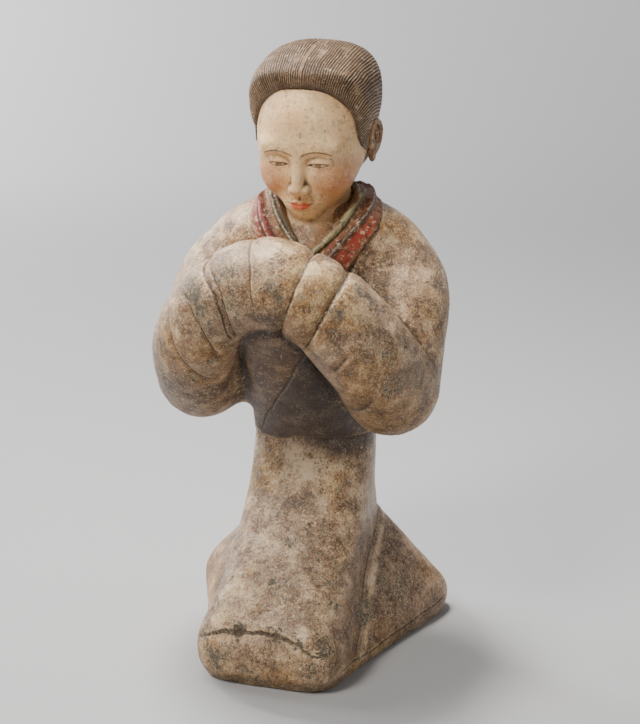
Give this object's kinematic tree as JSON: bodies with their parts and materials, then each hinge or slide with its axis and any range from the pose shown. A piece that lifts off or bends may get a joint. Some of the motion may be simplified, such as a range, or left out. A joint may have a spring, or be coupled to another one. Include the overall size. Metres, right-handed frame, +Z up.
{
  "type": "court lady figure",
  "caption": "Kneeling court lady in painted earthenware, hands joined inside wide sleeves, standing on her own flat underside.",
  "frame": {"origin": "middle of the flat underside, on the ground plane", "axes": "+Z up, -Y the way the figure faces, +X towards the figure's own left hand"},
  "size_m": [0.2342, 0.2187, 0.4938],
  "materials": {
    "painted_clay": "burnished tan earthenware with worn paint"
  },
  "bodies": {
    "root": {"court_lady_figure": "painted_clay"}
  },
  "joints": []
}
